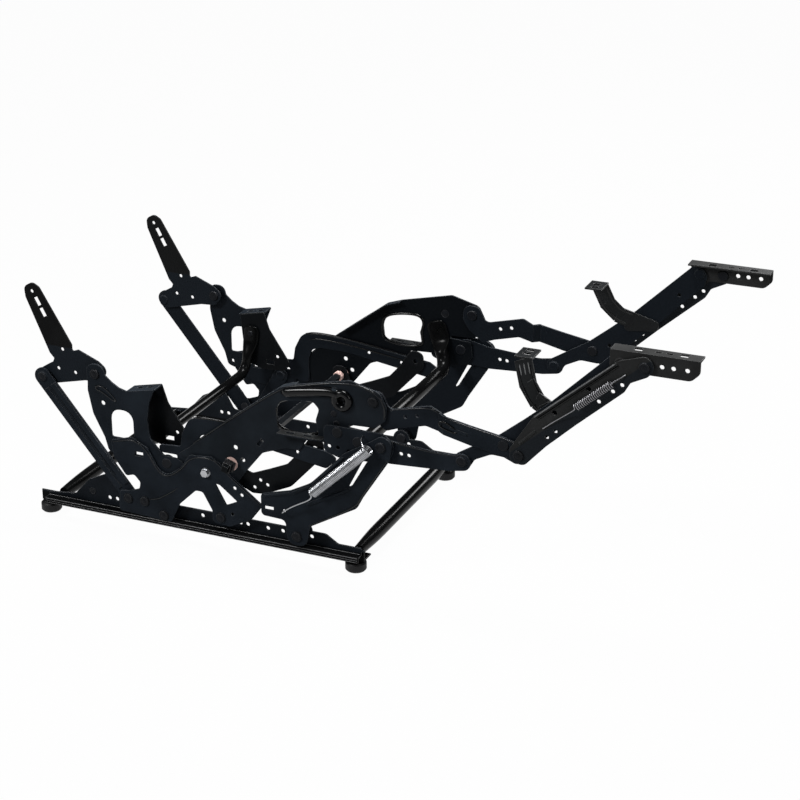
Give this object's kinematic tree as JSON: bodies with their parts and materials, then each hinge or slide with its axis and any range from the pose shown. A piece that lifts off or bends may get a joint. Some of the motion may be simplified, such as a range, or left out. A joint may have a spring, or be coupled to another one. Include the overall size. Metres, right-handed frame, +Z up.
{
  "type": "recliner mechanism",
  "caption": "Steel recliner chair mechanism with base rails, swing links, seat and back brackets, cross tubes, drive shaft, springs and a scissor linkage that extends the footrest.",
  "frame": {"origin": "centre of the bounding box in x and y, on the floor", "axes": "+X forward to the footrest, +Y to the sitter's left, +Z up"},
  "size_m": [1.2734, 0.5572, 0.506],
  "materials": {
    "black_paint": "satin black powder coat on pressed steel",
    "gloss_black": "gloss black enamel on steel tube",
    "zinc": "bright zinc plated spring wire and bolts",
    "nylon": "natural nylon",
    "foot_plastic": "matt black plastic"
  },
  "bodies": {
    "base": {"rail_left": "black_paint", "rail_right": "black_paint", "base_upright_left": "black_paint", "base_upright_right": "black_paint", "upright_sleeves": "black_paint", "front_base_tube": "gloss_black", "rear_base_tube": "gloss_black", "foot_brackets": "black_paint", "floor_feet": "foot_plastic", "base_pivots": "black_paint", "upright_bolts": "zinc"},
    "front_swing": {"front_swing_link_left": "black_paint", "front_swing_link_right": "black_paint", "assist_spring_left": "zinc", "assist_spring_right": "zinc"},
    "carriage": {"seat_plate_left": "black_paint", "seat_plate_right": "black_paint", "rear_plate_left": "black_paint", "rear_plate_right": "black_paint", "rear_saddle_left": "black_paint", "rear_saddle_right": "black_paint", "side_beam_left": "black_paint", "side_beam_right": "black_paint", "front_cheek_left": "black_paint", "front_cheek_right": "black_paint", "rear_cross_tube": "gloss_black", "front_cross_tube": "gloss_black", "carriage_rivets": "black_paint"},
    "shaft": {"drive_shaft": "black_paint", "shaft_bushings": "nylon", "drive_crank_left": "black_paint", "drive_crank_right": "black_paint"},
    "rear_swing": {"rear_swing_link_left": "black_paint", "rear_swing_link_right": "black_paint"},
    "back": {"back_bracket_left": "black_paint", "back_bracket_right": "black_paint"},
    "back_control": {"back_control_link_left": "black_paint", "back_control_link_right": "black_paint"},
    "front_ottoman": {"front_ottoman_link_left": "black_paint", "front_ottoman_link_right": "black_paint", "ottoman_pivots": "black_paint"},
    "rear_ottoman": {"rear_ottoman_link_left": "black_paint", "rear_ottoman_link_right": "black_paint"},
    "upper_ottoman": {"upper_ottoman_link_left": "black_paint", "upper_ottoman_link_right": "black_paint", "mid_ottoman_arm_left": "black_paint", "mid_ottoman_arm_right": "black_paint"},
    "lower_ottoman": {"lower_ottoman_link_left": "black_paint", "lower_ottoman_link_right": "black_paint", "footrest_spring_left": "zinc", "footrest_spring_right": "zinc", "footrest_pivots": "black_paint"},
    "footrest": {"footrest_bracket_left": "black_paint", "footrest_bracket_right": "black_paint"}
  },
  "joints": [
    {"name": "recline", "type": "hinge", "parent": "base", "child": "front_swing", "pos_m": [-0.07725, 0, 0.064], "axis": [0, 1, 0], "range_deg": [0, 8]},
    {"name": "seat_pivot", "type": "hinge", "parent": "front_swing", "child": "carriage", "pos_m": [0.08675, 0, 0.266], "axis": [0, 1, 0], "range_deg": [-8.08, 0.5], "deforming": ["assist_spring_left", "assist_spring_right"]},
    {"name": "rear_swing_pivot", "type": "hinge", "parent": "base", "child": "rear_swing", "pos_m": [-0.39365, 0, 0.0705], "axis": [0, 1, 0], "range_deg": [-0.5, 20.82]},
    {"name": "back_pivot", "type": "hinge", "parent": "carriage", "child": "back", "pos_m": [-0.48845, 0, 0.3068], "axis": [0, 1, 0], "range_deg": [-0.5, 19.13]},
    {"name": "back_control_pivot", "type": "hinge", "parent": "base", "child": "back_control", "pos_m": [-0.42865, 0, 0.0705], "axis": [0, 1, 0], "range_deg": [-0.5, 7.02]},
    {"name": "footrest_fold", "type": "hinge", "parent": "carriage", "child": "front_ottoman", "pos_m": [0.06675, 0, 0.342], "axis": [0, 1, 0], "range_deg": [0, 85]},
    {"name": "rear_link_pivot", "type": "hinge", "parent": "carriage", "child": "rear_ottoman", "pos_m": [0.04175, 0, 0.266], "axis": [0, 1, 0], "range_deg": [-0.5, 113.24]},
    {"name": "upper_link_pivot", "type": "hinge", "parent": "front_ottoman", "child": "upper_ottoman", "pos_m": [0.30775, 0, 0.304], "axis": [0, 1, 0], "range_deg": [-61.07, 0.5]},
    {"name": "lower_link_pivot", "type": "hinge", "parent": "front_ottoman", "child": "lower_ottoman", "pos_m": [0.33675, 0, 0.293], "axis": [0, 1, 0], "range_deg": [-57.77, 0.5]},
    {"name": "footrest_pivot", "type": "hinge", "parent": "lower_ottoman", "child": "footrest", "pos_m": [0.54675, 0, 0.484], "axis": [0, 1, 0], "range_deg": [-0.5, 46.22]},
    {"name": "shaft_turn", "type": "hinge", "parent": "carriage", "child": "shaft", "pos_m": [-0.21275, 0, 0.1765], "axis": [0, 1, 0], "range_deg": [-25.5, 0.5]}
  ],
  "couplings": [
    {"joint": "seat_pivot", "follows": "recline", "ratio": -0.94708},
    {"joint": "rear_swing_pivot", "follows": "recline", "ratio": 2.5393},
    {"joint": "back_pivot", "follows": "recline", "ratio": 2.3286},
    {"joint": "back_control_pivot", "follows": "recline", "ratio": 0.81453},
    {"joint": "rear_link_pivot", "follows": "footrest_fold", "ratio": 1.3263},
    {"joint": "upper_link_pivot", "follows": "footrest_fold", "ratio": -0.71257},
    {"joint": "lower_link_pivot", "follows": "footrest_fold", "ratio": -0.6738},
    {"joint": "footrest_pivot", "follows": "footrest_fold", "ratio": 0.53788},
    {"joint": "shaft_turn", "follows": "footrest_fold", "ratio": -0.29412}
  ]
}
